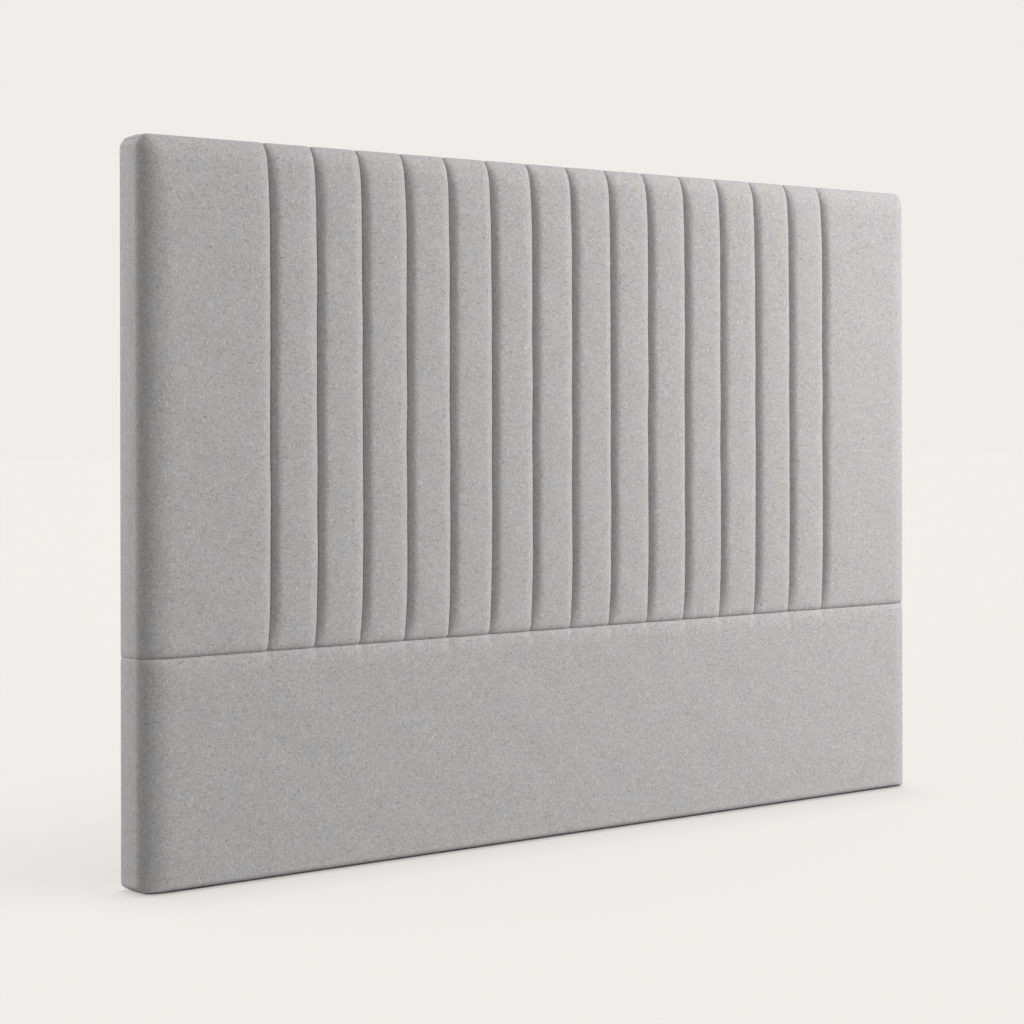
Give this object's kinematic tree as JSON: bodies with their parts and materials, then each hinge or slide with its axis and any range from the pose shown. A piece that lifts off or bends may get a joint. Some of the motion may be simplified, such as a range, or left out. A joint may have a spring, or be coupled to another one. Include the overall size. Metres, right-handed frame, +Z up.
{
  "type": "upholstered headboard",
  "caption": "Floor-standing upholstered headboard in light grey cloth, with upright channels between plain margins over a plain lower band.",
  "frame": {"origin": "on the floor, in the middle of the width and the depth", "axes": "+X to the right as seen from the front, +Y from the front to the wall, +Z up"},
  "size_m": [1.6, 0.076, 1.1],
  "materials": {
    "timber": "matte",
    "hardboard": "matte",
    "foam": "matte",
    "cover_cloth": "matte",
    "wadding": "matte",
    "zinc_steel": "satin",
    "screw_steel": "satin",
    "dust_cloth": "matte",
    "glide_plastic": "matte"
  },
  "bodies": {
    "root": {"bottom_rail": "timber", "top_rail": "timber", "left_stile": "timber", "right_stile": "timber", "inner_stile_left": "timber", "inner_stile_right": "timber", "cross_rail_left": "timber", "cross_rail_centre": "timber", "cross_rail_right": "timber", "corner_block_left": "timber", "corner_block_right": "timber", "hanger_block_left": "timber", "hanger_block_right": "timber", "front_panel": "hardboard", "foam_margin_left": "foam", "foam_channel_01": "foam", "foam_channel_02": "foam", "foam_channel_03": "foam", "foam_channel_04": "foam", "foam_channel_05": "foam", "foam_channel_06": "foam", "foam_channel_07": "foam", "foam_channel_08": "foam", "foam_channel_09": "foam", "foam_channel_10": "foam", "foam_channel_11": "foam", "foam_channel_12": "foam", "foam_channel_13": "foam", "foam_channel_14": "foam", "foam_margin_right": "foam", "foam_lower_band": "foam", "cover_margin_left": "cover_cloth", "cover_channel_01": "cover_cloth", "cover_channel_02": "cover_cloth", "cover_channel_03": "cover_cloth", "cover_channel_04": "cover_cloth", "cover_channel_05": "cover_cloth", "cover_channel_06": "cover_cloth", "cover_channel_07": "cover_cloth", "cover_channel_08": "cover_cloth", "cover_channel_09": "cover_cloth", "cover_channel_10": "cover_cloth", "cover_channel_11": "cover_cloth", "cover_channel_12": "cover_cloth", "cover_channel_13": "cover_cloth", "cover_channel_14": "cover_cloth", "cover_margin_right": "cover_cloth", "cover_lower_band": "cover_cloth", "edge_wadding_left": "wadding", "edge_wadding_top": "wadding", "edge_wadding_right": "wadding", "hanger_plate_left": "zinc_steel", "hanger_plate_right": "zinc_steel", "frame_screws": "screw_steel", "hanger_screws": "screw_steel", "glide_screws": "screw_steel", "dust_cover": "dust_cloth", "floor_glides": "glide_plastic"}
  },
  "joints": []
}
